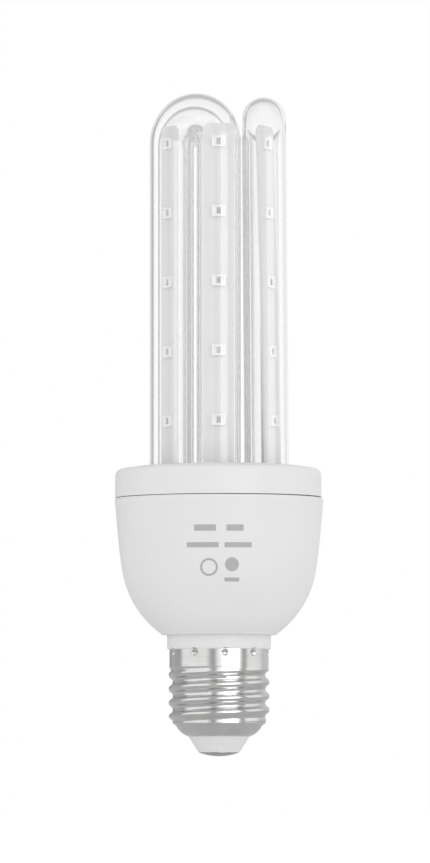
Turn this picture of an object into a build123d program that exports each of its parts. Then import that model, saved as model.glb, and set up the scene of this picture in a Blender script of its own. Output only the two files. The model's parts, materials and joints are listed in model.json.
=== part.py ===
from build123d import *
import math
import os

# Lamp with three U-shaped glass tubes, LED strips inside them, a two-part housing and a screw cap.
# Millimetres. The origin is the tip of the centre contact, on the lamp's axis, and +Z runs up the tubes.

# Centre contact: a pressed dome with a hollow shank
contact_radius = 5.15
contact_dome_height = 0.95
contact_rim = 0.1
contact_sheet = 0.4
shank_radius = 1.4
shank_bore_radius = 0.9
shank_top_z = 8.2

# Insulator: a moulded cone that grips the shell's lip
insulator_end_radius = 5.35
insulator_base_radius = 7.95
insulator_grip = 0.35
insulator_top_z = 7.0
shank_clearance = 0.05

# Cap shell: one rolled sheet with a right-hand round thread
sheet_thickness = 0.3
lip_z = 5.15
lip_hole_radius = 7.65
shoulder_edge_radius = 11.2
shoulder_edge_z = 7.9
shoulder_bulge = 0.29
thread_bottom_z = 8.6
thread_length = 14.7
thread_start_radius = 12.15
thread_crest_radius = 13.17
thread_pitch = 3.629
thread_depth = 1.095
thread_start_fade = 1.6
thread_end_fade = 1.4
thread_crest_z = 15.7
skirt_radius = 12.95
skirt_length = 4.5
roll_step = 0.02
roll_lap = 0.2

# Crimp dimples, which lock the shell on the neck
dimple_count = 10
dimple_punch_radius = 1.1
dimple_depth = 0.42
dimple_drop = 1.05
dimple_first_angle = -83.0
dimple_clearance = 0.08

# Neck of the lower housing
spigot_clearance = 0.08
spigot_inset = 0.5
spigot_wall = 1.3
collar_step = 0.55
collar_draft = 0.1
collar_height = 4.12
collar_edge = 0.25

# Bowl of the lower housing: a drafted wall and two tangent arcs. Drafts are taken from the rim's radius
bowl_rim_radius = 27.26
bowl_rim_round = 0.6
bowl_height = 35.38
bowl_wall_height = 9.4
bowl_wall_draft = 0.82
bowl_waist_height = 16.58
bowl_waist_draft = 1.96
bowl_lip_step = 1.6
bowl_lip_round = 0.3
bowl_thickness = 1.8

# Ribs inside the bowl, which carry the board and the cover's skirt
rib_count = 6
rib_thickness = 1.6
rib_top_drop = 3.9
rib_reach = 1.4
rib_foot_drop = 5.0
rib_first_angle = 0.0

# Upper cover: a lid, off centre and tilted, with a top that is level in the middle and falls outwards
cover_gap = 0.15
cover_edge_step = 0.31
cover_height = 8.5
cover_draft = 0.07
cover_corner = 1.9
cover_fall = 1.0
cover_level_radius = 14.0
cover_thickness = 1.8
cover_offset = 0.19
cover_tilt = 0.2
cover_skirt_clearance = 0.66
cover_skirt_thickness = 1.5

# Glass tubes: six legs on one circle, joined in pairs
tube_radius = 5.75
tube_wall = 0.85
tube_gap = 2.6
leg_circle_margin = 0.15
leg_length = 89.35
right_tube_lean = 0.4

# Tube sockets in the cover
socket_clearance = 0.15
socket_wall = 1.1
socket_depth = 5.95
socket_floor = 1.2

# LED strips: boards that stand on the socket floors
strip_width = 8.0
strip_thickness = 0.8
strip_rise = 4.65
strip_chamfer = 1.2
strip_face_offset = 1.0
slack_strip_top_offset = 0.6
slack_strip_bottom_offset = 2.5
tail_width = 4.6
tail_length = 2.8
slot_clearance = 0.25

# LED packages
led_count = 5
led_end_margin = 4.65
led_pitch = 18.1
led_width = 3.5
led_height = 2.8
led_thickness = 0.7
led_rim = 0.35
led_window_depth = 0.35
led_window_draft = 25.0

# Round driver board, with parts on its lower face
board_clearance = 0.2
board_margin = 2.0
board_thickness = 1.6
board_drop = 7.4
pin_radius = 0.35
pin_clearance = 0.1
pin_overhang = 1.0

# Parts on the board
capacitor_radius = 5.0
capacitor_length = 13.0
capacitor_groove = 0.4
capacitor_x = 8.5
capacitor_y = 4.0
capacitor_pin_gap = 2.5
inductor_radius = 4.6
inductor_length = 7.5
inductor_flange = 1.2
inductor_core_radius = 3.9
inductor_x = -9.0
inductor_y = 5.0
inductor_pin_gap = 3.0
rectifier_width = 4.7
rectifier_depth = 4.0
rectifier_height = 2.4
rectifier_x = -2.0
rectifier_y = -12.5
chip_width = 4.9
chip_depth = 3.9
chip_height = 1.5
chip_x = 9.0
chip_y = -8.5
chip_leg_pitch = 1.27
chip_leg_count = 4
leg_width = 0.45
leg_thickness = 0.25
leg_reach = 1.1
resistor_radius = 1.7
resistor_length = 7.0
resistor_x = -11.5
resistor_y = -5.0

# Wires
wire_radius = 0.75
wire_core_radius = 0.4
wire_bend_radius = 6.0
wire_strip_gap = 0.3
jumper_radius = 0.45
jumper_bend_radius = 1.3
jumper_drop = 2.6
jumper_pad_offset = 1.3
wire_notch_clearance = 0.3

# Values worked out from the sizes above
contact_seat_z = contact_dome_height + contact_rim
thread_top_z = thread_bottom_z + thread_length
skirt_top_z = thread_top_z + skirt_length
skirt_bore_radius = skirt_radius - sheet_thickness
dimple_z = skirt_top_z - dimple_drop
spigot_bottom_z = thread_top_z + spigot_inset
spigot_radius = skirt_bore_radius - spigot_clearance
neck_bore_radius = spigot_radius - spigot_wall
collar_bottom_radius = skirt_radius + collar_step
collar_top_radius = collar_bottom_radius + collar_draft
bowl_lip_radius = collar_top_radius + bowl_lip_step
bowl_lip_z = skirt_top_z + collar_height
bowl_rim_z = bowl_lip_z + bowl_height
bowl_wall_end_radius = bowl_rim_radius - bowl_wall_draft
bowl_wall_end_z = bowl_rim_z - bowl_wall_height
bowl_waist_radius = bowl_rim_radius - bowl_waist_draft
bowl_waist_z = bowl_lip_z + bowl_waist_height
cover_edge_z = bowl_rim_z + cover_gap
cover_edge_radius = bowl_rim_radius - cover_edge_step
cover_shoulder_radius = cover_edge_radius - cover_draft
cover_top_z = cover_edge_z + cover_height
cover_corner_z = cover_top_z - cover_fall
cover_skirt_radius = bowl_rim_radius - bowl_thickness - cover_skirt_clearance
rib_top_z = bowl_rim_z - rib_top_drop
board_z = rib_top_z - board_drop
board_radius = cover_skirt_radius - board_margin
rib_inner_radius = board_radius + board_clearance
rib_reach_radius = board_radius - rib_reach
socket_floor_z = cover_top_z - socket_depth
bend_center_z = socket_floor_z + leg_length
strip_top_z = bend_center_z + strip_rise
led_first_z = strip_top_z - led_end_margin
tube_bore_radius = tube_radius - tube_wall
leg_spacing = 2 * tube_radius + tube_gap
leg_circle_radius = leg_spacing + leg_circle_margin
bend_radius = leg_spacing / 2
tube_plane_offset = math.sqrt(leg_circle_radius**2 - bend_radius**2)
leg_half_angle = math.degrees(math.asin(bend_radius / leg_circle_radius))
well_radius = tube_radius + socket_clearance
tail_end_z = socket_floor_z - tail_length
board_top_z = board_z + board_thickness
thread_arc_radius = (thread_depth**2 + thread_pitch**2 / 4) / (4 * thread_depth)
tube_names = ["u_tube_right", "u_tube_rear", "u_tube_front"]
tube_count = len(tube_names)
leg_count = 2 * tube_count


def turned(outline):
    """Solid of revolution about the lamp's axis, from a closed outline in radius and height."""
    return revolve(Plane.XZ * make_face(outline), Axis.Z)


def cylinder_between(radius, low_z, high_z, x=0.0, y=0.0):
    """Upright cylinder from low_z to high_z."""
    height = high_z - low_z
    return Pos(x, y, low_z + height / 2) * Cylinder(radius, height)


def box_below(width, depth, height, x, y, top_z):
    """Upright box that hangs from top_z."""
    return Pos(x, y, top_z - height / 2) * Box(width, depth, height)


def wire_along(points, radius, bend_radius):
    """Round wire along straight runs that are joined by tangent arcs."""
    if len(points) > 2:
        path = FilletPolyline(*points, radius=bend_radius)
    else:
        path = Line(*points)
    start = Plane(origin=path @ 0, z_dir=path % 0)
    return sweep(start * Circle(radius), path=path)


# Screw cap


def make_centre_contact():
    """Thin dome with a rim on the insulator and a hollow shank through it."""
    dome = ThreePointArc(
        (0, 0),
        (contact_radius / 2, contact_dome_height / 4),
        (contact_radius, contact_dome_height),
    )
    inner_radius = contact_radius - contact_sheet
    back_z = contact_sheet + contact_dome_height * (shank_radius / contact_radius) ** 2
    back = ThreePointArc(
        (inner_radius, contact_seat_z),
        ((inner_radius + shank_radius) / 2, contact_sheet + contact_dome_height * 0.36),
        (shank_radius, back_z),
    )
    rim = Polyline(
        (contact_radius, contact_dome_height),
        (contact_radius, contact_seat_z),
        (inner_radius, contact_seat_z),
    )
    shank = Polyline(
        (shank_radius, back_z),
        (shank_radius, shank_top_z),
        (shank_bore_radius, shank_top_z),
        (shank_bore_radius, contact_sheet),
        (0, contact_sheet),
        (0, 0),
    )
    return turned([dome, rim, back, shank])


def make_insulator():
    """Cone under the shell, with a neck through its lip and a flange inside it."""
    bore_radius = shank_radius + shank_clearance
    flange_radius = lip_hole_radius + insulator_grip
    lip_top_z = lip_z + sheet_thickness
    outline = Polyline(
        (bore_radius, contact_seat_z),
        (insulator_end_radius, contact_seat_z),
        (insulator_base_radius, lip_z),
        (lip_hole_radius, lip_z),
        (lip_hole_radius, lip_top_z),
        (flange_radius, lip_top_z),
        (flange_radius, insulator_top_z),
        (bore_radius, insulator_top_z),
        (bore_radius, contact_seat_z),
    )
    return turned(outline)


def knuckle_radius(z, angle):
    """Radius of the endless round thread: crest arcs and root arcs of one size, tangent to each other."""
    half_pitch = thread_pitch / 2
    along = (z - thread_crest_z - thread_pitch * angle / 360 + half_pitch) % thread_pitch - half_pitch
    if abs(along) <= half_pitch / 2:
        crest_center = thread_crest_radius - thread_arc_radius
        return crest_center + math.sqrt(thread_arc_radius**2 - along**2)
    root_center = thread_crest_radius - thread_depth + thread_arc_radius
    from_root = half_pitch - abs(along)
    return root_center - math.sqrt(thread_arc_radius**2 - from_root**2)


def smooth_step(value):
    """Rises from 0 to 1 with level ends."""
    value = min(max(value, 0.0), 1.0)
    return value * value * (3 - 2 * value)


def thread_radius(z, angle):
    """Radius of the rolled thread, which fades into the skirt above and the shoulder below."""
    top_radius = skirt_radius - roll_step
    rise = smooth_step((z - thread_bottom_z - roll_lap) / thread_start_fade)
    fall = smooth_step((thread_top_z - roll_lap - z) / thread_end_fade)
    radius = top_radius + (knuckle_radius(z, angle) - top_radius) * fall
    return thread_start_radius + (radius - thread_start_radius) * rise


def thread_section(angle):
    """Closed section of the rolled sheet at one angle round the axis."""
    steps_per_pitch = 13
    low_z = thread_bottom_z - roll_lap
    high_z = thread_top_z + roll_lap
    steps = round((high_z - low_z) / thread_pitch * steps_per_pitch)
    probe = 0.01
    rolled_thickness = sheet_thickness - 2 * roll_step
    outer = []
    inner = []
    for step in range(steps + 1):
        z = low_z + (high_z - low_z) * step / steps
        radius = thread_radius(z, angle)
        slope = (thread_radius(z + probe, angle) - thread_radius(z - probe, angle)) / (2 * probe)
        inset = rolled_thickness / math.hypot(1, slope)
        shift = slope * inset if 0 < step < steps else 0
        outer.append((radius, 0, z))
        inner.append((radius - inset, 0, z + shift))
    inner.reverse()
    outline = [Spline(*outer), Line(outer[-1], inner[0]), Spline(*inner), Line(inner[-1], outer[0])]
    return Rot(0, 0, angle) * Wire(outline)


def make_thread():
    """Threaded band of the shell, lofted as two half turns."""
    section_step = 15
    band = None
    for start in (0, 180):
        sections = [thread_section(angle) for angle in range(start, start + 181, section_step)]
        half = Solid.make_loft(sections)
        band = half if band is None else band + half
    return band


def make_shoulder():
    """Lower shoulder of the shell, from the thread in to the flat lip that holds the insulator."""
    inner_edge_radius = shoulder_edge_radius - sheet_thickness
    inner_edge_z = shoulder_edge_z + sheet_thickness * 0.7
    lip_radius = insulator_base_radius + 0.1
    lip_top_z = lip_z + sheet_thickness
    top_radius = thread_start_radius + roll_step
    middle_radius = (shoulder_edge_radius + lip_radius) / 2 + shoulder_bulge
    middle_z = (shoulder_edge_z + lip_z) / 2 - shoulder_bulge
    outer = ThreePointArc(
        (shoulder_edge_radius, shoulder_edge_z),
        (middle_radius, middle_z),
        (lip_radius, lip_z),
    )
    inner = ThreePointArc(
        (lip_radius, lip_top_z),
        (middle_radius - sheet_thickness * 0.7, middle_z + sheet_thickness * 0.7),
        (inner_edge_radius, inner_edge_z),
    )
    hole = Polyline(
        (lip_radius, lip_z),
        (lip_hole_radius, lip_z),
        (lip_hole_radius, lip_top_z),
        (lip_radius, lip_top_z),
    )
    top = Polyline(
        (inner_edge_radius, inner_edge_z),
        (top_radius - sheet_thickness, thread_bottom_z),
        (top_radius, thread_bottom_z),
        (shoulder_edge_radius, shoulder_edge_z),
    )
    return turned([outer, hole, inner, top])


def dimple_places():
    """Centres of the punch strokes that lock the shell on the neck."""
    punch_radius = skirt_radius - dimple_depth + dimple_punch_radius
    places = []
    for index in range(dimple_count):
        angle = math.radians(dimple_first_angle + 360 * index / dimple_count)
        places.append(Pos(punch_radius * math.cos(angle), punch_radius * math.sin(angle), dimple_z))
    return places


def make_cap_shell():
    """Rolled sheet shell: plain skirt with dimples, thread and shoulder."""
    skirt = cylinder_between(skirt_radius, thread_top_z, skirt_top_z)
    skirt -= cylinder_between(skirt_bore_radius, thread_top_z, skirt_top_z)
    bump_form = cylinder_between(skirt_radius - sheet_thickness / 2, thread_top_z, skirt_top_z)
    for place in dimple_places():
        skirt += (place * Sphere(dimple_punch_radius + sheet_thickness)) & bump_form
    for place in dimple_places():
        skirt -= place * Sphere(dimple_punch_radius)
    return make_thread() + skirt + make_shoulder()


# Housing


def bowl_outline(inset):
    """Side of the bowl from its rim to its lip: one line and two tangent arcs, moved inwards by inset."""
    rim = (bowl_rim_radius, bowl_rim_z)
    wall_end = (bowl_wall_end_radius, bowl_wall_end_z)
    waist = (bowl_waist_radius, bowl_waist_z)
    lip = (bowl_lip_radius, bowl_lip_z)
    wall = Line(rim, wall_end)
    upper_arc = TangentArc(wall_end, waist, tangent=wall % 1)
    lower_arc = TangentArc(waist, lip, tangent=upper_arc % 1)
    nodes = []
    for point, direction in (
        (wall @ 0, wall % 0),
        (wall @ 1, wall % 1),
        (upper_arc @ 1, upper_arc % 1),
        (lower_arc @ 1, lower_arc % 1),
    ):
        nodes.append(point + Vector(direction.Y, -direction.X) * inset)
    side = Line(nodes[0], nodes[1])
    upper_side = TangentArc(nodes[1], nodes[2], tangent=side % 1)
    lower_side = TangentArc(nodes[2], nodes[3], tangent=upper_side % 1)
    return [side, upper_side, lower_side]


def bowl_form(inset, floor_z, rise=0.0):
    """Solid inside of the bowl's side, moved inwards by inset, from floor_z to a rise above the rim."""
    side = bowl_outline(inset)
    top = side[0] @ 0
    foot = side[-1] @ 1
    top_z = top.Y + rise
    closing = Polyline(
        (foot.X, foot.Y),
        (foot.X, floor_z),
        (0, floor_z),
        (0, top_z),
        (top.X, top_z),
    )
    lines = side + [closing]
    if rise:
        lines.append(Line((top.X, top_z), (top.X, top.Y)))
    return turned(lines)


def make_ribs():
    """Stepped ribs inside the bowl: the board rests on the steps, the cover's skirt on the tops."""
    backing = bowl_form(bowl_thickness / 2, bowl_lip_z)
    foot_z = board_z - rib_foot_drop
    outline = Polyline(
        (rib_inner_radius, rib_top_z),
        (rib_inner_radius, board_z),
        (rib_reach_radius, board_z),
        (rib_reach_radius, foot_z),
        (bowl_rim_radius, foot_z - rib_foot_drop),
        (bowl_rim_radius, rib_top_z),
        (rib_inner_radius, rib_top_z),
    )
    rib = extrude(Plane.XZ * make_face(outline), amount=rib_thickness / 2, both=True)
    ribs = []
    for index in range(rib_count):
        ribs.append((Rot(0, 0, rib_first_angle + 360 * index / rib_count) * rib) & backing)
    return ribs


def make_neck():
    """Collar above the cap shell and the spigot inside it."""
    outline = Polyline(
        (0, spigot_bottom_z),
        (spigot_radius, spigot_bottom_z),
        (spigot_radius, skirt_top_z),
        (collar_bottom_radius - collar_edge, skirt_top_z),
        (collar_bottom_radius, skirt_top_z + collar_edge),
        (collar_top_radius, bowl_lip_z),
        (0, bowl_lip_z),
        (0, spigot_bottom_z),
    )
    return turned(outline)


def shell_wire_notch():
    """Gap in the spigot's end, where the wire to the shell comes out."""
    width = 2 * (wire_core_radius + wire_notch_clearance)
    height = 2 * (wire_core_radius + wire_notch_clearance)
    return Pos(0, neck_bore_radius + spigot_wall / 2, spigot_bottom_z + height / 2) * Box(
        width, 2 * spigot_wall, height
    )


def make_lower_housing():
    """Bowl, neck collar and spigot with one cavity, ribs inside and pits for the shell's dimples."""
    bowl = bowl_form(0, bowl_lip_z - bowl_lip_round)
    rounds = bowl.edges().filter_by(GeomType.CIRCLE).sort_by(Axis.Z)
    bowl = fillet(rounds[0], bowl_lip_round * 0.9)
    bowl = fillet(bowl.edges().filter_by(GeomType.CIRCLE).sort_by(Axis.Z)[-1], bowl_rim_round)
    neck = make_neck()
    cavity_floor_z = bowl_lip_z + bowl_thickness
    cavity = bowl_form(bowl_thickness, cavity_floor_z, bowl_thickness)
    bore = cylinder_between(neck_bore_radius, spigot_bottom_z, cavity_floor_z + bowl_thickness)
    housing = bowl + neck - cavity - bore
    housing += make_ribs()
    for place in dimple_places():
        housing -= place * Sphere(dimple_punch_radius + sheet_thickness + dimple_clearance)
    housing -= shell_wire_notch()
    return housing


def make_cover_lid():
    """Lid with a rounded corner and a falling top, a little off centre and tilted."""
    corner_radius = cover_shoulder_radius - cover_corner
    wall_top_z = cover_corner_z - cover_corner
    inner_radius = cover_shoulder_radius - cover_thickness
    half_turn = cover_corner * math.sqrt(0.5)
    level = Line((0, cover_top_z), (cover_level_radius, cover_top_z))
    fall = TangentArc((cover_level_radius, cover_top_z), (corner_radius, cover_corner_z), tangent=(1, 0))
    corner = ThreePointArc(
        (corner_radius, cover_corner_z),
        (corner_radius + half_turn, wall_top_z + half_turn),
        (cover_shoulder_radius, wall_top_z),
    )
    walls = Polyline(
        (cover_shoulder_radius, wall_top_z),
        (cover_edge_radius, cover_edge_z),
        (inner_radius, cover_edge_z),
        (inner_radius, wall_top_z),
        (corner_radius - cover_thickness, cover_corner_z - cover_thickness),
        (cover_level_radius, cover_top_z - cover_thickness),
        (0, cover_top_z - cover_thickness),
        (0, cover_top_z),
    )
    lid = turned([level, fall, corner, walls])
    return Pos(-cover_offset, 0, cover_edge_z) * Rot(0, -cover_tilt, 0) * Pos(0, 0, -cover_edge_z) * lid


def make_cover_skirt():
    """Upright ring inside the bowl, which seats on the ribs."""
    under_z = cover_corner_z - cover_thickness / 2
    skirt = cylinder_between(cover_skirt_radius, rib_top_z, under_z)
    return skirt - cylinder_between(cover_skirt_radius - cover_skirt_thickness, rib_top_z, under_z)


def make_upper_cover():
    """Lid, skirt and six tube sockets, one moulding."""
    cover = make_cover_lid() + make_cover_skirt()
    boss_bottom_z = socket_floor_z - socket_floor
    boss_top_z = cover_top_z - cover_thickness / 2
    for leg in range(leg_count):
        place = tube_place(leg // 2) * leg_place(leg)
        boss = place * cylinder_between(well_radius + socket_wall, boss_bottom_z, boss_top_z)
        cover += boss
    for leg in range(leg_count):
        place = tube_place(leg // 2) * leg_place(leg)
        well = place * cylinder_between(well_radius, tail_end_z, cover_top_z + cover_corner)
        cover -= split(well, Plane.XY.offset(socket_floor_z), keep=Keep.TOP)
        cover -= strip_slot(leg)
    return cover


# Tubes and strips


def tube_place(tube):
    """Place of one U tube: turned round the lamp's axis, and leaned inwards about its sockets."""
    lean = right_tube_lean if tube == 0 else 0
    pivot = Pos(tube_plane_offset, 0, socket_floor_z)
    back = Pos(-tube_plane_offset, 0, -socket_floor_z)
    return Rot(0, 0, 360 * tube / tube_count) * pivot * Rot(0, -lean, 0) * back


def leg_place(leg):
    """Place of one leg in its tube's frame, with local X pointing away from the lamp's axis."""
    side = -1 if leg % 2 == 0 else 1
    return Rot(0, 0, side * leg_half_angle) * Pos(leg_circle_radius, 0, 0)


def make_u_tube(tube):
    """One bent glass tube, open at both feet, which stand on the socket floors."""
    foot_z = tail_end_z
    ring = Circle(tube_radius) - Circle(tube_bore_radius)
    axis_point = (tube_plane_offset, 0, bend_center_z)
    glass = revolve(
        Pos(tube_plane_offset, -bend_radius, bend_center_z) * ring,
        Axis(axis_point, (-1, 0, 0)),
        revolution_arc=180,
    )
    for side in (-1, 1):
        foot = Pos(tube_plane_offset, side * bend_radius, foot_z)
        glass += extrude(foot * ring, amount=bend_center_z - foot_z)
    glass = tube_place(tube) * glass
    return split(glass, Plane.XY.offset(socket_floor_z), keep=Keep.TOP)


def face_offset(leg, z):
    """Distance of a strip's outer face from its leg's axis. The first leg's strip leans in its tube."""
    if leg != 0:
        return strip_face_offset
    share = (z - socket_floor_z) / (strip_top_z - socket_floor_z)
    return slack_strip_bottom_offset + (slack_strip_top_offset - slack_strip_bottom_offset) * share


def strip_slab(leg, width, low_z, high_z, margin=0.0):
    """Flat board in one leg, between two heights, grown by margin to make room for itself."""
    low = face_offset(leg, low_z)
    high = face_offset(leg, high_z)
    back = strip_thickness + margin
    outline = Polyline(
        (low + margin, low_z),
        (high + margin, high_z),
        (high - back, high_z),
        (low - back, low_z),
        (low + margin, low_z),
    )
    return extrude(Plane.XZ * make_face(outline), amount=width / 2 + margin, both=True)


def strip_slot(leg):
    """Slot in a socket's floor for the strip's tail."""
    low_z = tail_end_z - socket_floor
    high_z = socket_floor_z + socket_floor
    slab = strip_slab(leg, tail_width, low_z, high_z, slot_clearance)
    return tube_place(leg // 2) * leg_place(leg) * slab


def make_led_strip(leg):
    """Board with chamfered top corners, shoulders on the socket floor and a tail through its slot."""
    body = strip_slab(leg, strip_width, tail_end_z, strip_top_z)
    top_face = body.faces().sort_by(Axis.Z)[-1]
    short_edges = top_face.edges().filter_by(Axis.Y, reverse=True)
    body = chamfer(short_edges, strip_chamfer)
    tail = strip_slab(leg, tail_width, tail_end_z - tail_length, socket_floor_z + tail_length)
    place = tube_place(leg // 2) * leg_place(leg)
    body = split(place * body, Plane.XY.offset(socket_floor_z), keep=Keep.TOP)
    tail = split(place * tail, Plane.XY.offset(tail_end_z), keep=Keep.TOP)
    return body + tail


def make_led(leg, index):
    """LED package with a drafted window, its back on the strip's face."""
    z = led_first_z - led_pitch * index
    offset = face_offset(leg, z)
    rise = face_offset(leg, z) - face_offset(leg, z + 1)
    face = Plane(origin=(offset, 0, z), x_dir=(0, 1, 0), z_dir=(1, 0, rise))
    package = extrude(face * Rectangle(led_width, led_height), amount=led_thickness)
    front = face.offset(led_thickness)
    window = Rectangle(led_width - 2 * led_rim, led_height - 2 * led_rim)
    package -= extrude(front * window, amount=-led_window_depth, taper=led_window_draft)
    return tube_place(leg // 2) * leg_place(leg) * package


# Driver


def pin_pairs():
    """Places of the through-board pins, as x and y."""
    pairs = []
    for x, y, gap in (
        (capacitor_x, capacitor_y, capacitor_pin_gap),
        (inductor_x, inductor_y, inductor_pin_gap),
        (resistor_x, resistor_y, resistor_length),
    ):
        pairs += [(x, y - gap / 2), (x, y + gap / 2)]
    return pairs


def pins(x, y, gap, low_z):
    """Two pins from low_z up through the board."""
    top_z = board_top_z + pin_overhang
    first = cylinder_between(pin_radius, low_z, top_z, x, y - gap / 2)
    return first + cylinder_between(pin_radius, low_z, top_z, x, y + gap / 2)


def make_driver_board():
    """Round board on the ribs, with a hole for each pin."""
    board = cylinder_between(board_radius, board_z, board_top_z)
    for x, y in pin_pairs():
        board -= cylinder_between(pin_radius + pin_clearance, board_z, board_top_z, x, y)
    return board


def make_capacitor():
    """Round can that hangs from the board, with the rolled groove near its foot."""
    can = cylinder_between(capacitor_radius, board_z - capacitor_length, board_z, capacitor_x, capacitor_y)
    groove_z = board_z - capacitor_length * 0.12
    ring = Torus(capacitor_radius + capacitor_groove, 2 * capacitor_groove)
    groove = Pos(capacitor_x, capacitor_y, groove_z) * ring
    can = fillet((can - groove).edges().sort_by(Axis.Z)[0], capacitor_groove)
    return can + pins(capacitor_x, capacitor_y, capacitor_pin_gap, board_z - capacitor_groove)


def make_inductor():
    """Drum coil: two flanges and the winding between them."""
    low_z = board_z - inductor_length
    drum = cylinder_between(inductor_core_radius, low_z, board_z, inductor_x, inductor_y)
    drum += cylinder_between(inductor_radius, low_z, low_z + inductor_flange, inductor_x, inductor_y)
    drum += cylinder_between(inductor_radius, board_z - inductor_flange, board_z, inductor_x, inductor_y)
    return drum + pins(inductor_x, inductor_y, inductor_pin_gap, board_z - inductor_flange)


def gull_legs(x, y, width, height, count, pitch):
    """Two rows of bent legs, from the middle of a package's sides to the board's face."""
    legs = []
    for side in (-1, 1):
        for index in range(count):
            leg_y = y + (index - (count - 1) / 2) * pitch
            shank_x = x + side * (width / 2 + leg_reach / 4)
            foot_x = x + side * (width / 2 + leg_reach / 2)
            shank_length = leg_reach / 2 + leg_thickness
            shank = box_below(shank_length, leg_width, leg_thickness, shank_x, leg_y, board_z - height / 2)
            foot = box_below(leg_thickness, leg_width, height / 2 + leg_thickness, foot_x, leg_y, board_z)
            legs += [shank, foot]
    return legs


def make_rectifier():
    """Bridge rectifier: a block on four bent legs."""
    x, y = rectifier_x, rectifier_y
    body = box_below(rectifier_width, rectifier_depth, rectifier_height, x, y, board_z)
    return body + gull_legs(x, y, rectifier_width, rectifier_height, 2, rectifier_depth / 2)


def make_driver_chip():
    """Driver chip: a low block on eight bent legs."""
    body = box_below(chip_depth, chip_width, chip_height, chip_x, chip_y, board_z)
    return body + gull_legs(chip_x, chip_y, chip_depth, chip_height, chip_leg_count, chip_leg_pitch)


def make_resistor():
    """Axial resistor that lies along the board, with its two leads bent up through it."""
    axis_z = board_z - resistor_radius
    body_length = resistor_length - 4 * pin_radius
    body = Pos(resistor_x, resistor_y, axis_z) * Rot(90, 0, 0) * Cylinder(resistor_radius, body_length)
    lead = Pos(resistor_x, resistor_y, axis_z) * Rot(90, 0, 0) * Cylinder(pin_radius, resistor_length)
    return body + lead + pins(resistor_x, resistor_y, resistor_length, axis_z)


# Wires


def make_contact_lead():
    """Wire from the board down the axis, with a bare end in the contact's shank."""
    bare_z = shank_top_z + wire_strip_gap
    middle_z = (board_z + bare_z) / 2
    route = [
        (0, wire_bend_radius, board_z),
        (0, wire_bend_radius, middle_z + wire_bend_radius),
        (0, 0, middle_z - wire_bend_radius),
        (0, 0, bare_z),
    ]
    insulated = wire_along(route, wire_radius, wire_bend_radius)
    return insulated + cylinder_between(wire_core_radius, contact_sheet, bare_z)


def make_shell_lead():
    """Bare wire from the board down the neck, and out through the spigot's notch to the shell."""
    notch_z = spigot_bottom_z + wire_core_radius + wire_notch_clearance
    near_y = neck_bore_radius - 2 * wire_core_radius - wire_notch_clearance
    route = [(0, near_y, board_z), (0, near_y, notch_z), (0, skirt_bore_radius, notch_z)]
    lead = wire_along(route, wire_core_radius, wire_core_radius * 3)
    return lead & cylinder_between(skirt_bore_radius, spigot_bottom_z, board_z)


def pad_point(leg, side, z):
    """Point under the middle of a strip's tail, beside its centre line, at height z."""
    middle = face_offset(leg, tail_end_z) - strip_thickness / 2
    point = tube_place(leg // 2) * leg_place(leg) * Pos(middle, side * jumper_pad_offset, tail_end_z)
    return (point.position.X, point.position.Y, z)


def make_jumper(index):
    """Wire loop from one strip's tail to the next."""
    low_z = tail_end_z - jumper_drop
    route = [
        pad_point(index, 1, tail_end_z),
        pad_point(index, 1, low_z),
        pad_point(index + 1, -1, low_z),
        pad_point(index + 1, -1, tail_end_z),
    ]
    return wire_along(route, jumper_radius, jumper_bend_radius)


def make_feed(leg, side):
    """Straight wire from the board up to a strip's tail."""
    route = [pad_point(leg, side, board_top_z), pad_point(leg, side, tail_end_z)]
    return wire_along(route, jumper_radius, jumper_bend_radius)


def make_parts():
    """Every node of the lamp, by name."""
    parts = {
        "centre_contact": make_centre_contact(),
        "cap_insulator": make_insulator(),
        "cap_shell": make_cap_shell(),
        "lower_housing": make_lower_housing(),
        "upper_cover": make_upper_cover(),
        "driver_board": make_driver_board(),
        "electrolytic_capacitor": make_capacitor(),
        "filter_inductor": make_inductor(),
        "bridge_rectifier": make_rectifier(),
        "driver_chip": make_driver_chip(),
        "fusible_resistor": make_resistor(),
        "contact_lead": make_contact_lead(),
        "shell_lead": make_shell_lead(),
        "strip_feed_in": make_feed(0, -1),
        "strip_feed_out": make_feed(leg_count - 1, 1),
    }
    for tube, name in enumerate(tube_names):
        parts[name] = make_u_tube(tube)
    for leg in range(leg_count):
        parts[f"led_strip_{leg + 1}"] = make_led_strip(leg)
        for index in range(led_count):
            parts[f"led_{leg + 1}_{index + 1}"] = make_led(leg, index)
    for index in range(leg_count - 1):
        parts[f"strip_jumper_{index + 1}"] = make_jumper(index)
    return parts


os.makedirs("parts", exist_ok=True)
for name, shape in make_parts().items():
    export_step(shape, f"parts/{name}.step")
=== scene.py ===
import json
import math

import bmesh
import bpy
from mathutils import Matrix, Vector
from mathutils.bvhtree import BVHTree


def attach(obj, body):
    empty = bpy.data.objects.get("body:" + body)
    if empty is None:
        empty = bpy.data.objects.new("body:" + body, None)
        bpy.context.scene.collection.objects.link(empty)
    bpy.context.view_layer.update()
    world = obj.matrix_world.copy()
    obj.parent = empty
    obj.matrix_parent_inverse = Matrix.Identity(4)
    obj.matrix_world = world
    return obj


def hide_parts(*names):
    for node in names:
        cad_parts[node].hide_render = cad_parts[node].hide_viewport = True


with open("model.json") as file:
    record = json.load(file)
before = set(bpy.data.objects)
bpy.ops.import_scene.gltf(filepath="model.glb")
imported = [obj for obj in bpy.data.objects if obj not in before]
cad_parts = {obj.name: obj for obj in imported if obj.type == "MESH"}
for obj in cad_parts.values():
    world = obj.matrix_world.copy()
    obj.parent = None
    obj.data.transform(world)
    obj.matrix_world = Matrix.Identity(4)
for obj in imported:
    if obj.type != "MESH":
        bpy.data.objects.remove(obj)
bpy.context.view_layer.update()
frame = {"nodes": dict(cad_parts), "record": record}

# Sizes are in millimetres, as in the part's source, and MM turns them into metres
MM = 0.001

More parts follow.
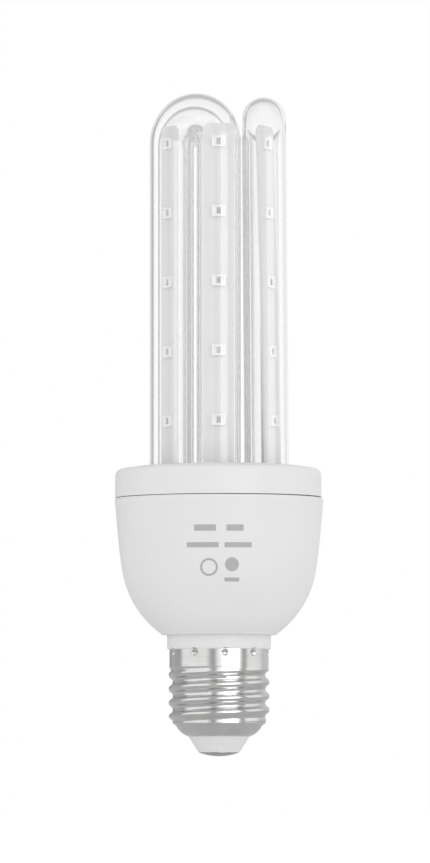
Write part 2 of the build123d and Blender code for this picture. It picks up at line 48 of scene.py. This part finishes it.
# Camera, fitted to the photo
CAMERA_DISTANCE = 1780.0
CAMERA_HEIGHT = -8.9
CAMERA_TARGET_X = -1.06
CAMERA_TARGET_Z = 84.7
CAMERA_LENS = 284.8
CAMERA_CLIP = (50.0, 30000.0)

# Lit panels round the lamp as (azimuth, tone), with 0 degrees at the camera and 90 at the picture's right
PANELS = (
    (-180, 0.55), (-165, 0.4), (-152, 0.4), (-140, 0.55), (-102, 0.5), (-92, 1.15), (-30, 1.3),
    (-17, 0.5), (-11, 0.5), (-2, 1.4), (9, 1.7), (15, 2.0), (42, 2.0), (51, 1.2), (57, 0.5),
    (63, 0.5), (72, 1.2), (108, 1.1), (120, 0.8), (165, 0.7), (180, 0.55),
)

# Brightest panel: its share by azimuth, its tone, and the sines of height between which it comes in
KEY_PANEL = ((-180, 0.0), (8, 0.0), (13, 1.0), (43, 1.0), (49, 0.0), (180, 0.0))
KEY_TONE = 4.2
KEY_TOP = (0.4, 0.25)

# Dim roof: its tone, and the sines of height between which it comes in
ROOF_TONE = 0.5
ROOF_EDGE = (0.6, 0.85)

# White backdrop: its tone, and the angles from straight back between which it comes in
BACKDROP_TONE = 1.0
BACKDROP_EDGE = (12, 8)

# Seen through glass: tones by azimuth, the tone higher up, and the sines between which that comes in
THROUGH_GLASS = (
    (-180, 1.0), (-159, 1.0), (-152, 0.46), (-132, 0.46), (-118, 0.85), (-90, 1.1), (0, 1.1),
    (90, 1.1), (130, 0.8), (151, 0.8), (157, 1.0), (180, 1.0),
)
GLASS_HIGH_TONE = 0.52
GLASS_HIGH_EDGE = (0.31, 0.43)

# Even light for matt surfaces: its tone, and how far it takes the place of all the rest
EVEN_TONE = 1.16
EVEN_SHARE = 0.72

# What the camera sees behind the lamp
WHITE = 1.0

# Floor
FLOOR_Z = -30.0
FLOOR_HALF_SIZE = 4000.0
FLOOR_TONE = 0.9
FLOOR_MIRRORED_TONE = 0.56
FLOOR_GLOW = 0.4

# U tubes
TUBE_RADIUS = 5.75
TUBE_WALL = 0.85
LEG_CIRCLE_RADIUS = 14.25
LEG_SPACING = 14.1
PLANE_OFFSET = math.sqrt(LEG_CIRCLE_RADIUS**2 - (LEG_SPACING / 2) ** 2)
BEND_CENTER_Z = 159.35
SOCKET_FLOOR_Z = 70.0
RIGHT_TUBE_LEAN = 0.4
TUBE_NODES = ("u_tube_right", "u_tube_rear", "u_tube_front")
TUBE_SIDES = 96
BEND_STEPS = 64

# Cap shell
SHEET = 0.3
LIP_Z = 5.15
LIP_HOLE_RADIUS = 7.65
LIP_RADIUS = 8.05
SHOULDER_EDGE_RADIUS = 11.2
SHOULDER_EDGE_Z = 7.9
SHOULDER_BULGE = 0.29
THREAD_BOTTOM_Z = 8.6
THREAD_TOP_Z = 23.3
THREAD_START_RADIUS = 12.15
THREAD_CREST_RADIUS = 13.17
THREAD_PITCH = 3.629
THREAD_DEPTH = 1.095
THREAD_START_FADE = 1.6
THREAD_END_FADE = 1.4
THREAD_LAP = 0.2
THREAD_CREST_Z = 15.7
SKIRT_RADIUS = 12.95
SKIRT_TOP_Z = 27.8
DIMPLE_COUNT = 10
PUNCH_RADIUS = 1.1
DIMPLE_DEPTH = 0.42
DIMPLE_Z = 26.75
DIMPLE_FIRST_ANGLE = -83.0

# Mesh of the cap shell: sides round it, rows up its outside, and how seldom one is on its inside too
SHELL_SIDES = 600
SHOULDER_STEPS = 10
THREAD_ROW = 0.2
PLAIN_ROW = 0.5
DIMPLE_ROW = 0.13
INNER_ROW_EVERY = 7
SLOPE_PROBE = 0.01

# LED strips and packages
LEG_COUNT = 6
LED_COUNT = 5
LED_FIRST_Z = 159.35
LED_PITCH = 18.1
LED_THICKNESS = 0.7
LED_WINDOW_DEPTH = 0.35
STRIP_TOP_Z = 164.0
FACE_OFFSET = 1.0
SLACK_TOP_OFFSET = 0.6
SLACK_BOTTOM_OFFSET = 2.5

# Lead frame and die: start and end from the window's floor, then width and height of the foot and the top
WINDOW_PARTS = (
    (-0.02, 0.05, (1.1, 1.6), (1.0, 1.5)),
    (0.03, 0.2, (0.75, 1.35), (0.65, 1.25)),
)

# Print on the bowl
PRINT_CELL = 0.4
PRINT_RING_SIDES = 40
PRINT_LIFTS = (0.03, -0.03)
PRINT_START_Y = -100.0
MERGE_DISTANCE = 0.0001


# Meshes


def new_object(name, mesh):
    """Links a mesh as an object of the scene."""
    piece = bpy.data.objects.new(name, mesh)
    bpy.context.scene.collection.objects.link(piece)
    return piece


def smooth_mesh(name, vertices, faces, sharp_degrees=40.0):
    """Mesh with smooth shading, apart from edges sharper than the angle."""
    mesh = bpy.data.meshes.new(name)
    mesh.from_pydata([tuple(MM * c for c in v) for v in vertices], [], faces)
    mesh.validate()
    tool = bmesh.new()
    tool.from_mesh(mesh)
    bmesh.ops.recalc_face_normals(tool, faces=tool.faces)
    tool.to_mesh(mesh)
    tool.free()
    mesh.shade_smooth()
    mesh.set_sharp_from_angle(angle=math.radians(sharp_degrees))
    return mesh


def joined_loops(loops):
    """Faces between closed loops of equally many vertices, with the last loop joined to the first."""
    count = len(loops[0])
    faces = []
    for index in range(len(loops)):
        here = index * count
        after = (index + 1) % len(loops) * count
        for step in range(count):
            ahead = (step + 1) % count
            faces.append((here + step, here + ahead, after + ahead, after + step))
    return faces


# Materials


class Graph:
    """Node tree, with short calls for its nodes."""

    def __init__(self, tree):
        self.tree = tree
        self.tree.nodes.clear()

    def node(self, kind, **settings):
        made = self.tree.nodes.new(kind)
        for key, value in settings.items():
            setattr(made, key, value)
        return made

    def link(self, source, target):
        self.tree.links.new(source, target)

    def feed(self, source, target):
        """Links an output to an input, or sets the input to a number, which makes a grey of a colour."""
        if not isinstance(source, (int, float)):
            self.link(source, target)
        elif target.type == "RGBA":
            target.default_value = (source, source, source, 1.0)
        else:
            target.default_value = source

    def calc(self, operation, first, second):
        made = self.node("ShaderNodeMath", operation=operation)
        self.feed(first, made.inputs[0])
        self.feed(second, made.inputs[1])
        return made.outputs[0]

    def mix(self, factor, first, second):
        """First colour where the factor is 0, second where it is 1."""
        made = self.node("ShaderNodeMix", data_type="RGBA")
        for source, socket in ((factor, "Factor"), (first, "A"), (second, "B")):
            self.feed(source, made.inputs[socket])
        return made.outputs["Result"]

    def between(self, source, low, high, course="SMOOTHSTEP"):
        """Goes from 0 to 1 while the source goes from one value to the other."""
        made = self.node("ShaderNodeMapRange", interpolation_type=course)
        made.inputs["From Min"].default_value = low
        made.inputs["From Max"].default_value = high
        self.link(source, made.inputs["Value"])
        return made.outputs["Result"]

    def ramp(self, source, stops):
        """Colour ramp through (position, grey or colour) stops."""
        made = self.node("ShaderNodeValToRGB")
        elements = made.color_ramp.elements
        while len(elements) < len(stops):
            elements.new(0.5)
        for element, (position, colour) in zip(elements, stops):
            if not isinstance(colour, tuple):
                colour = (colour, colour, colour)
            element.position = position
            element.color = (*colour, 1.0)
        self.link(source, made.inputs["Fac"])
        return made.outputs["Color"]


class Shader(Graph):
    """Node tree of one new material."""

    def __init__(self, name):
        self.material = bpy.data.materials.new(name)
        self.material.use_nodes = True
        super().__init__(self.material.node_tree)
        self.output = self.node("ShaderNodeOutputMaterial")

    def principled(self, **inputs):
        made = self.node("ShaderNodeBsdfPrincipled")
        for key, value in inputs.items():
            made.inputs[key.replace("_", " ")].default_value = value
        return made

    def place(self):
        return self.node("ShaderNodeTexCoord").outputs["Object"]

    def noise(self, scale, detail, stretch=None):
        """Noise in object space, with scale in features a metre. stretch squeezes it along the axes."""
        made = self.node("ShaderNodeTexNoise")
        made.inputs["Scale"].default_value = scale
        made.inputs["Detail"].default_value = detail
        source = self.place()
        if stretch is not None:
            mapping = self.node("ShaderNodeMapping")
            mapping.inputs["Scale"].default_value = stretch
            self.link(source, mapping.inputs["Vector"])
            source = mapping.outputs["Vector"]
        self.link(source, made.inputs["Vector"])
        return made.outputs["Fac"]

    def bump(self, source, distance):
        """Bump as high as the distance in metres."""
        made = self.node("ShaderNodeBump")
        made.inputs["Strength"].default_value = 1.0
        made.inputs["Distance"].default_value = distance
        self.link(source, made.inputs["Height"])
        return made.outputs["Normal"]

    def done(self, surface):
        self.link(surface.outputs[0], self.output.inputs["Surface"])
        return self.material


def tint(colour, factor):
    """Colour scaled by a factor."""
    return tuple(min(1.0, c * factor) for c in colour)


def mottled_plastic(name, colour, roughness, spread=0.015):
    """Moulded plastic: faint uneven colour, a fine grain in its gloss and a fine bump."""
    shader = Shader(name)
    surface = shader.principled(Roughness=roughness, IOR=1.48)
    tones = ((0.3, tint(colour, 1 - spread)), (0.7, tint(colour, 1 + spread)))
    shader.link(shader.ramp(shader.noise(60.0, 4.0), tones), surface.inputs["Base Color"])
    grain = shader.noise(2600.0, 2.0)
    gloss = ((0.3, roughness * 0.92), (0.7, roughness * 1.08))
    shader.link(shader.ramp(grain, gloss), surface.inputs["Roughness"])
    shader.link(shader.bump(grain, 0.00002), surface.inputs["Normal"])
    return shader.done(surface)


def clear_glass():
    """Clear drawn glass. It lets light fall straight through to matt surfaces and into shadows."""
    shader = Shader("clear_glass")
    surface = shader.principled(
        Roughness=0.0, IOR=1.5, Transmission_Weight=1.0, Base_Color=(0.99, 0.992, 0.991, 1.0)
    )
    draw_lines = shader.noise(120.0, 1.0, stretch=(1.0, 1.0, 0.04))
    shader.link(shader.bump(draw_lines, 0.000012), surface.inputs["Normal"])
    clear = shader.node("ShaderNodeBsdfTransparent")
    path = shader.node("ShaderNodeLightPath")
    both = shader.node("ShaderNodeMixShader")
    straight = shader.calc("MAXIMUM", path.outputs["Is Shadow Ray"], path.outputs["Is Diffuse Ray"])
    shader.link(straight, both.inputs["Fac"])
    shader.link(surface.outputs[0], both.inputs[1])
    shader.link(clear.outputs[0], both.inputs[2])
    return shader.done(both)


def nickel(name, colour, roughness, spread):
    """Bright plated sheet with faint rolling marks round it."""
    shader = Shader(name)
    surface = shader.principled(Metallic=1.0, Roughness=roughness)
    tones = ((0.3, tint(colour, 1 - spread)), (0.7, colour))
    shader.link(shader.ramp(shader.noise(220.0, 4.0), tones), surface.inputs["Base Color"])
    marks = shader.noise(500.0, 3.0, stretch=(0.25, 0.25, 3.0))
    gloss = ((0.3, roughness * 0.7), (0.75, roughness * 1.5))
    shader.link(shader.ramp(marks, gloss), surface.inputs["Roughness"])
    shader.link(shader.bump(marks, 0.000004), surface.inputs["Normal"])
    return shader.done(surface)


def coil_wire(name):
    """Enamelled winding, whose turns show as fine ridges. Its colour darkens into the grooves between
    turns as painted shade.
    """
    shader = Shader(name)
    surface = shader.principled(Roughness=0.45)
    wave = shader.node("ShaderNodeTexWave", bands_direction="Z")
    wave.inputs["Scale"].default_value = 900.0
    shader.link(shader.place(), wave.inputs["Vector"])
    turns = wave.outputs["Fac"]
    # Painted shade: the colour is dark in the grooves between turns and light on their crests
    tones = ((0.2, (0.12, 0.06, 0.03)), (0.8, (0.3, 0.15, 0.07)))
    shader.link(shader.ramp(turns, tones), surface.inputs["Base Color"])
    shader.link(shader.bump(turns, 0.0001), surface.inputs["Normal"])
    return shader.done(surface)


def board_mask(name, colour, roughness):
    """Solder mask over copper tracks, which show as faint steps."""
    shader = Shader(name)
    surface = shader.principled(Roughness=roughness, IOR=1.5)
    cells = shader.node("ShaderNodeTexVoronoi", distance="CHEBYCHEV", feature="F1")
    cells.inputs["Scale"].default_value = 260.0
    shader.link(shader.place(), cells.inputs["Vector"])
    tracks = cells.outputs["Distance"]
    tones = ((0.25, colour), (0.55, tint(colour, 0.985)))
    shader.link(shader.ramp(tracks, tones), surface.inputs["Base Color"])
    shader.link(shader.bump(tracks, 0.00001), surface.inputs["Normal"])
    return shader.done(surface)


def dress(slot, finish, *values, **options):
    """Gives the CAD nodes of one material slot a finish, which takes the slot's name."""
    material = finish(slot, *values, **options)
    for entry in frame["record"]["subparts"]:
        if entry["material_slot"] == slot:
            node = frame["nodes"][entry["node"]]
            node.data.materials.clear()
            node.data.materials.append(material)


# U tubes


def tube_place(tube):
    """Turn and lean of one U tube about its foot, as a matrix in millimetres."""
    lean = RIGHT_TUBE_LEAN if tube == 0 else 0.0
    pivot = Matrix.Translation((PLANE_OFFSET, 0, SOCKET_FLOOR_Z))
    turn = Matrix.Rotation(math.radians(360 / len(TUBE_NODES) * tube), 4, "Z")
    return turn @ pivot @ Matrix.Rotation(math.radians(-lean), 4, "Y")


def tube_loop(station, radius):
    """Closed ring of points round the tube's centre line at one station of its length."""
    center, across = station
    ring = []
    for side in range(TUBE_SIDES):
        angle = 2 * math.pi * side / TUBE_SIDES
        ring.append(center + radius * (math.cos(angle) * across + math.sin(angle) * Vector((1, 0, 0))))
    return ring


def make_u_tube(tube, name):
    """Bent tube as one closed mesh: outside, one foot, inside and the other foot."""
    half = LEG_SPACING / 2
    rise = BEND_CENTER_Z - SOCKET_FLOOR_Z
    stations = [(Vector((0, -half, 0)), Vector((0, -1, 0)))]
    for step in range(BEND_STEPS + 1):
        angle = math.pi * step / BEND_STEPS
        out = Vector((0, -math.cos(angle), math.sin(angle)))
        stations.append((Vector((0, 0, rise)) + half * out, out))
    stations.append((Vector((0, half, 0)), Vector((0, 1, 0))))
    outer = [tube_loop(station, TUBE_RADIUS) for station in stations]
    inner = [tube_loop(station, TUBE_RADIUS - TUBE_WALL) for station in reversed(stations)]
    loops = outer + inner
    place = tube_place(tube)
    feet = (0, len(stations) - 1, len(stations), len(loops) - 1)
    vertices = []
    for index, loop in enumerate(loops):
        for point in loop:
            moved = place @ point
            if index in feet:
                moved.z = SOCKET_FLOOR_Z
            vertices.append(moved)
    return new_object(name, smooth_mesh(name, vertices, joined_loops(loops)))


# Cap shell


def knuckle_radius(z, angle):
    """Radius of the endless round thread at a height and an angle in degrees."""
    arc = (THREAD_DEPTH**2 + THREAD_PITCH**2 / 4) / (4 * THREAD_DEPTH)
    half = THREAD_PITCH / 2
    along = (z - THREAD_CREST_Z - THREAD_PITCH * angle / 360 + half) % THREAD_PITCH - half
    if abs(along) <= half / 2:
        return THREAD_CREST_RADIUS - arc + math.sqrt(arc**2 - along**2)
    from_root = half - abs(along)
    return THREAD_CREST_RADIUS - THREAD_DEPTH + arc - math.sqrt(arc**2 - from_root**2)


def smooth_step(value):
    """Rises from 0 to 1 with level ends."""
    value = min(max(value, 0.0), 1.0)
    return value * value * (3 - 2 * value)


def thread_radius(z, angle):
    """Radius of the rolled thread, which fades into the skirt and the shoulder."""
    rise = smooth_step((z - THREAD_BOTTOM_Z - THREAD_LAP) / THREAD_START_FADE)
    fall = smooth_step((THREAD_TOP_Z - THREAD_LAP - z) / THREAD_END_FADE)
    radius = SKIRT_RADIUS + (knuckle_radius(z, angle) - SKIRT_RADIUS) * fall
    return THREAD_START_RADIUS + (radius - THREAD_START_RADIUS) * rise


def dimple_drop(z, angle):
    """Depth of the crimp dimples at a place on the skirt, as a round punch leaves them."""
    spacing = 360 / DIMPLE_COUNT
    beside = (angle - DIMPLE_FIRST_ANGLE + spacing / 2) % spacing - spacing / 2
    distance = math.hypot(math.radians(beside) * SKIRT_RADIUS, z - DIMPLE_Z)
    if distance >= PUNCH_RADIUS:
        return 0.0
    return max(0.0, math.sqrt(PUNCH_RADIUS**2 - distance**2) - PUNCH_RADIUS + DIMPLE_DEPTH)


def shell_rows():
    """Heights of the shell's wall, close together at the thread and the dimples."""
    stretches = (
        (THREAD_TOP_Z, THREAD_ROW),
        (DIMPLE_Z - PUNCH_RADIUS, PLAIN_ROW),
        (SKIRT_TOP_Z, DIMPLE_ROW),
    )
    rows = []
    z = THREAD_BOTTOM_Z
    for end, step in stretches:
        while z < end - step / 2:
            rows.append(z)
            z += step
        z = end
    rows.append(SKIRT_TOP_Z)
    return rows


def shoulder_points(inset):
    """Round shoulder from the lip's hole up to the thread's foot, as radius and height.

    The inset moves it inwards by the sheet, straight up at the lip and then aslant.
    """
    middle_radius = (SHOULDER_EDGE_RADIUS + LIP_RADIUS) / 2 + SHOULDER_BULGE
    middle_z = (SHOULDER_EDGE_Z + LIP_Z) / 2 - SHOULDER_BULGE
    aslant = 0.7
    points = [(LIP_HOLE_RADIUS, LIP_Z + inset)]
    for step in range(SHOULDER_STEPS + 1):
        share = step / SHOULDER_STEPS
        low, middle, high = (1 - share) * (1 - 2 * share), 4 * share * (1 - share), share * (2 * share - 1)
        radius = low * LIP_RADIUS + middle * middle_radius + high * SHOULDER_EDGE_RADIUS
        z = low * LIP_Z + middle * middle_z + high * SHOULDER_EDGE_Z
        slant = inset * smooth_step(share * 3) * aslant
        points.append((radius - slant, z + (inset if share == 0 else max(slant, inset * aslant))))
    return points


def make_cap_shell():
    """Rolled shell as one closed sheet: each loop runs up its outside and down its inside."""
    rows = shell_rows()
    loops = []
    for side in range(SHELL_SIDES):
        angle = 360 * side / SHELL_SIDES
        outer = shoulder_points(0.0)
        inner = shoulder_points(SHEET)
        for index, z in enumerate(rows):
            radius = thread_radius(z, angle) - dimple_drop(z, angle)
            outer.append((radius, z))
            if index % INNER_ROW_EVERY and z < SKIRT_TOP_Z:
                continue
            above = thread_radius(z + SLOPE_PROBE, angle)
            below = thread_radius(z - SLOPE_PROBE, angle)
            slope = (above - below) / (2 * SLOPE_PROBE)
            inset = SHEET / math.hypot(1, slope)
            inner.append((radius - inset, min(z + slope * inset, SKIRT_TOP_Z)))
        inner.reverse()
        cos_side, sin_side = math.cos(math.radians(angle)), math.sin(math.radians(angle))
        loops.append([(r * cos_side, r * sin_side, z) for r, z in outer + inner])
    vertices = [point for loop in loops for point in loop]
    return new_object("cap_shell_fine", smooth_mesh("cap_shell_fine", vertices, joined_loops(loops), 50.0))


# Print


def bar_film(x, z, width, height):
    """Grid of points over a bar with its middle at x and z."""
    columns = max(2, round(width / PRINT_CELL))
    rows = max(2, round(height / PRINT_CELL))
    across = [x + width * (c / columns - 0.5) for c in range(columns + 1)]
    up = [z + height * (r / rows - 0.5) for r in range(rows + 1)]
    return [[(px, pz) for px in across] for pz in up]


def ring_film(x, z, outer, inner):
    """Grid of points over a ring, which is a dot where its inner radius is 0."""
    angles = [2 * math.pi * t / PRINT_RING_SIDES for t in range(PRINT_RING_SIDES + 1)]
    return [
        [(x + radius * math.cos(angle), z + radius * math.sin(angle)) for angle in angles]
        for radius in (inner, (inner + outer) / 2, outer)
    ]


def print_films():
    """Plain print that stands for the photo's: bars, a ring and a dot."""
    return [
        bar_film(-3.6, 58.6, 5.6, 1.6),
        bar_film(4.1, 58.6, 4.4, 1.6),
        bar_film(-4.2, 54.2, 8.2, 1.3),
        bar_film(4.9, 54.2, 7.0, 1.3),
        ring_film(-2.6, 48.5, 2.3, 1.75),
        ring_film(3.3, 49.2, 1.8, 0.0),
        bar_film(3.3, 45.3, 3.8, 1.0),
    ]


def make_print():
    """Ink films laid on the bowl's front, each a thin closed solid."""
    bowl = frame["nodes"]["lower_housing"].data
    tree = BVHTree.FromPolygons([v.co for v in bowl.vertices], [p.vertices for p in bowl.polygons])
    vertices = []
    faces = []
    for grid in print_films():
        rows, columns = len(grid), len(grid[0])
        base = len(vertices)
        for lift in PRINT_LIFTS:
            for row in grid:
                for x, z in row:
                    start = Vector((x * MM, PRINT_START_Y * MM, z * MM))
                    hit = tree.ray_cast(start, Vector((0, 1, 0)))[0]
                    vertices.append(Vector(hit) / MM - Vector((0, lift, 0)))
        layer = rows * columns
        for r in range(rows - 1):
            for c in range(columns - 1):
                corner = base + r * columns + c
                quad = (corner, corner + 1, corner + columns + 1, corner + columns)
                faces.append(quad)
                faces.append(tuple(layer + v for v in reversed(quad)))
        rim = list(range(columns))
        rim += [r * columns + columns - 1 for r in range(1, rows)]
        rim += [(rows - 1) * columns + c for c in range(columns - 2, -1, -1)]
        rim += [r * columns for r in range(rows - 2, 0, -1)]
        for index, here in enumerate(rim):
            after = rim[(index + 1) % len(rim)]
            faces.append((base + after, base + here, base + layer + here, base + layer + after))
    mesh = smooth_mesh("bowl_print", vertices, faces, 30.0)
    tool = bmesh.new()
    tool.from_mesh(mesh)
    bmesh.ops.remove_doubles(tool, verts=tool.verts, dist=MERGE_DISTANCE * MM)
    tool.to_mesh(mesh)
    tool.free()
    return new_object("bowl_print", mesh)


# Lead frames and dies


def leg_place(leg):
    """Place of one leg, with local X pointing away from the lamp's axis and z measured from the tip."""
    side = -1 if leg % 2 == 0 else 1
    half_angle = math.asin(LEG_SPACING / 2 / LEG_CIRCLE_RADIUS)
    back = Matrix.Translation((-PLANE_OFFSET, 0, -SOCKET_FLOOR_Z))
    out = Matrix.Translation((LEG_CIRCLE_RADIUS, 0, 0))
    return tube_place(leg // 2) @ back @ Matrix.Rotation(side * half_angle, 4, "Z") @ out


def face_offset(leg, z):
    """Distance of a strip's outer face from its leg's axis. The first leg's strip leans in its tube."""
    if leg != 0:
        return FACE_OFFSET
    share = (z - SOCKET_FLOOR_Z) / (STRIP_TOP_Z - SOCKET_FLOOR_Z)
    return SLACK_BOTTOM_OFFSET + (SLACK_TOP_OFFSET - SLACK_BOTTOM_OFFSET) * share


def frustum(low, high, bottom, top):
    """Corners and faces of a rectangle that rises from one height to another and narrows."""
    corners = []
    for (width, height), level in ((bottom, low), (top, high)):
        for sy, sz in ((-1, -1), (1, -1), (1, 1), (-1, 1)):
            corners.append((level, sy * width / 2, sz * height / 2))
    faces = [(3, 2, 1, 0), (4, 5, 6, 7)]
    faces += [(i, (i + 1) % 4, (i + 1) % 4 + 4, i + 4) for i in range(4)]
    return corners, faces


def make_die(leg, index):
    """Lead frame and die that show in one LED's window."""
    z = LED_FIRST_Z - LED_PITCH * index
    rise = face_offset(leg, z) - face_offset(leg, z + 1)
    tilt = Matrix.Rotation(-math.atan(rise), 4, "Y")
    floor = LED_THICKNESS - LED_WINDOW_DEPTH
    place = leg_place(leg) @ Matrix.Translation((face_offset(leg, z), 0, z)) @ tilt
    vertices = []
    faces = []
    for low, high, bottom, top in WINDOW_PARTS:
        corners, quads = frustum(floor + low, floor + high, bottom, top)
        faces += [tuple(v + len(vertices) for v in quad) for quad in quads]
        vertices += [place @ Vector(corner) for corner in corners]
    name = f"led_die_{leg + 1}_{index + 1}"
    return new_object(name, smooth_mesh(name, vertices, faces, 20.0))


# Studio


def make_camera():
    """Camera at the photo's height and distance, tipped up a little."""
    data = bpy.data.cameras.new("camera")
    data.lens = CAMERA_LENS
    data.clip_start = CAMERA_CLIP[0] * MM
    data.clip_end = CAMERA_CLIP[1] * MM
    camera = bpy.data.objects.new("camera", data)
    bpy.context.scene.collection.objects.link(camera)
    camera.location = (0, -CAMERA_DISTANCE * MM, CAMERA_HEIGHT * MM)
    target = Vector((CAMERA_TARGET_X, 0, CAMERA_TARGET_Z)) * MM
    camera.rotation_euler = (target - camera.location).to_track_quat("-Z", "Y").to_euler()
    bpy.context.scene.camera = camera


def make_world():
    """Soft studio round the lamp: lit panels by azimuth with darker gaps, a dim roof and a white backdrop.

    Matt surfaces get it evened out, as from far larger panels. The glass shows a wider backdrop between
    two flags, and the camera sees plain white.
    """
    world = bpy.data.worlds.new("studio")
    bpy.context.scene.world = world
    world.use_nodes = True
    sky = Graph(world.node_tree)
    direction = sky.node("ShaderNodeSeparateXYZ")
    sky.link(sky.node("ShaderNodeTexCoord").outputs["Generated"], direction.inputs[0])
    away, height = direction.outputs["Y"], direction.outputs["Z"]
    azimuth = sky.calc("ARCTAN2", direction.outputs["X"], sky.calc("MULTIPLY", away, -1.0))
    turn = sky.between(azimuth, -math.pi, math.pi, "LINEAR")
    panels, key_panel, through_glass = [
        sky.ramp(turn, [((degrees + 180) / 360, tone) for degrees, tone in stops])
        for stops in (PANELS, KEY_PANEL, THROUGH_GLASS)
    ]
    backdrop_edge = [math.cos(math.radians(degrees)) for degrees in BACKDROP_EDGE]
    roofed = sky.mix(sky.between(height, *ROOF_EDGE), panels, ROOF_TONE)
    key = sky.calc("MULTIPLY", key_panel, sky.between(height, *KEY_TOP))
    reflected = sky.mix(sky.between(away, *backdrop_edge), sky.mix(key, roofed, KEY_TONE), BACKDROP_TONE)
    refracted = sky.mix(sky.between(height, *GLASS_HIGH_EDGE), through_glass, GLASS_HIGH_TONE)
    path = sky.node("ShaderNodeLightPath")
    seen = sky.mix(path.outputs["Is Transmission Ray"], reflected, refracted)
    evened = sky.mix(sky.calc("MULTIPLY", path.outputs["Is Diffuse Ray"], EVEN_SHARE), seen, EVEN_TONE)
    background = sky.node("ShaderNodeBackground")
    sky.link(sky.mix(path.outputs["Is Camera Ray"], evened, WHITE), background.inputs["Color"])
    sky.link(background.outputs[0], sky.node("ShaderNodeOutputWorld").inputs["Surface"])


def make_floor():
    """Plain pale floor below the lamp.

    The camera sees it white apart from the shadow. Metal and glass show it dimmer.
    """
    corners = [(sx * FLOOR_HALF_SIZE, sy * FLOOR_HALF_SIZE, FLOOR_Z)
               for sx, sy in ((-1, -1), (1, -1), (1, 1), (-1, 1))]
    floor = new_object("floor", smooth_mesh("floor", corners, [(0, 1, 2, 3)]))
    shader = Shader("floor")
    matte = shader.node("ShaderNodeBsdfDiffuse")
    glow = shader.node("ShaderNodeEmission")
    both = shader.node("ShaderNodeAddShader")
    path = shader.node("ShaderNodeLightPath")
    mirrored = shader.calc("MAXIMUM", path.outputs["Is Glossy Ray"], path.outputs["Is Transmission Ray"])
    shader.link(shader.mix(mirrored, FLOOR_TONE, FLOOR_MIRRORED_TONE), matte.inputs["Color"])
    seen = shader.calc("MULTIPLY", path.outputs["Is Camera Ray"], FLOOR_GLOW)
    shader.link(seen, glow.inputs["Strength"])
    shader.link(matte.outputs[0], both.inputs[0])
    shader.link(glow.outputs[0], both.inputs[1])
    floor.data.materials.append(shader.done(both))


make_camera()
make_world()
make_floor()

dress("housing_plastic", mottled_plastic, (0.70, 0.70, 0.697), 0.42)
dress("insulator_plastic", mottled_plastic, (0.67, 0.67, 0.665), 0.4)
dress("strip_board", board_mask, (0.665, 0.665, 0.665), 0.35)
dress("led_package", mottled_plastic, (0.82, 0.82, 0.815), 0.3, spread=0.01)
dress("contact_metal", nickel, (0.46, 0.45, 0.44), 0.28, 0.2)
dress("driver_board", board_mask, (0.06, 0.25, 0.12), 0.4)
dress("capacitor_sleeve", mottled_plastic, (0.03, 0.03, 0.05), 0.3)
dress("ferrite", coil_wire)
dress("chip_black", mottled_plastic, (0.02, 0.02, 0.02), 0.6)
dress("resistor_coat", mottled_plastic, (0.2, 0.35, 0.3), 0.5)
dress("wire_insulation", mottled_plastic, (0.75, 0.75, 0.72), 0.4)
dress("bare_wire", nickel, (0.7, 0.66, 0.6), 0.3, 0.15)

glass = clear_glass()
for tube_index, tube_node in enumerate(TUBE_NODES):
    tube_piece = make_u_tube(tube_index, tube_node + "_fine")
    tube_piece.data.materials.append(glass)
    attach(tube_piece, "root")
    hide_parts(tube_node)

shell_piece = make_cap_shell()
shell_piece.data.materials.append(nickel("cap_metal", (0.68, 0.676, 0.67), 0.13, 0.12))
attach(shell_piece, "root")
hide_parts("cap_shell")

die_finish = mottled_plastic("led_die", (0.46, 0.46, 0.47), 0.3, spread=0.3)
for die_leg in range(LEG_COUNT):
    for die_index in range(LED_COUNT):
        die_piece = make_die(die_leg, die_index)
        die_piece.data.materials.append(die_finish)
        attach(die_piece, "root")

print_piece = make_print()
print_piece.data.materials.append(mottled_plastic("print_ink", (0.39, 0.39, 0.40), 0.5))
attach(print_piece, "root")

scene = bpy.context.scene
scene.view_settings.view_transform = "Standard"
scene.cycles.max_bounces = 32
scene.cycles.transmission_bounces = 32
scene.cycles.glossy_bounces = 16
scene.cycles.diffuse_bounces = 6
scene.cycles.transparent_max_bounces = 32
